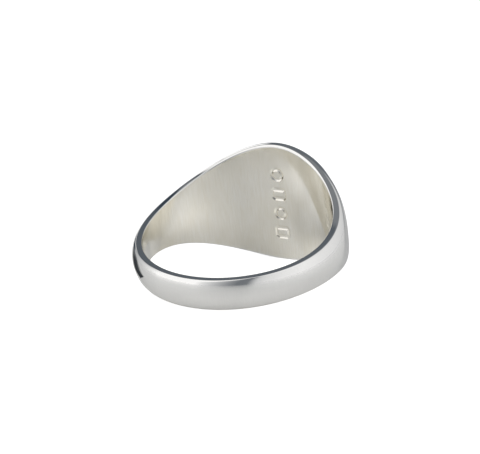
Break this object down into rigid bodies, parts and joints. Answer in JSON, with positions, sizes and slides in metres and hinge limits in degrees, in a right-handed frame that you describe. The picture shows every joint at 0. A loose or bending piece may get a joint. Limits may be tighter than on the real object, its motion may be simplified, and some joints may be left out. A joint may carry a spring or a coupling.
{
  "type": "signet ring",
  "caption": "Polished oval signet ring: flat-faced head with sloping shoulders hard-soldered to a slim domed shank, plain satin bore.",
  "frame": {"origin": "centre of the finger bore, level with the middle of the head", "axes": "+Z along the finger bore, -Y out of the signet face, +Y towards the back of the shank, +X towards the left solder joint"},
  "size_m": [0.0194, 0.0196, 0.012],
  "materials": {
    "sterling_silver": "mirror-polished outside, satin-finished bore",
    "silver_solder": "polished flush with the silver"
  },
  "bodies": {
    "root": {"signet_head": "sterling_silver", "shank": "sterling_silver", "solder_joint_left": "silver_solder", "solder_joint_right": "silver_solder"}
  },
  "joints": []
}
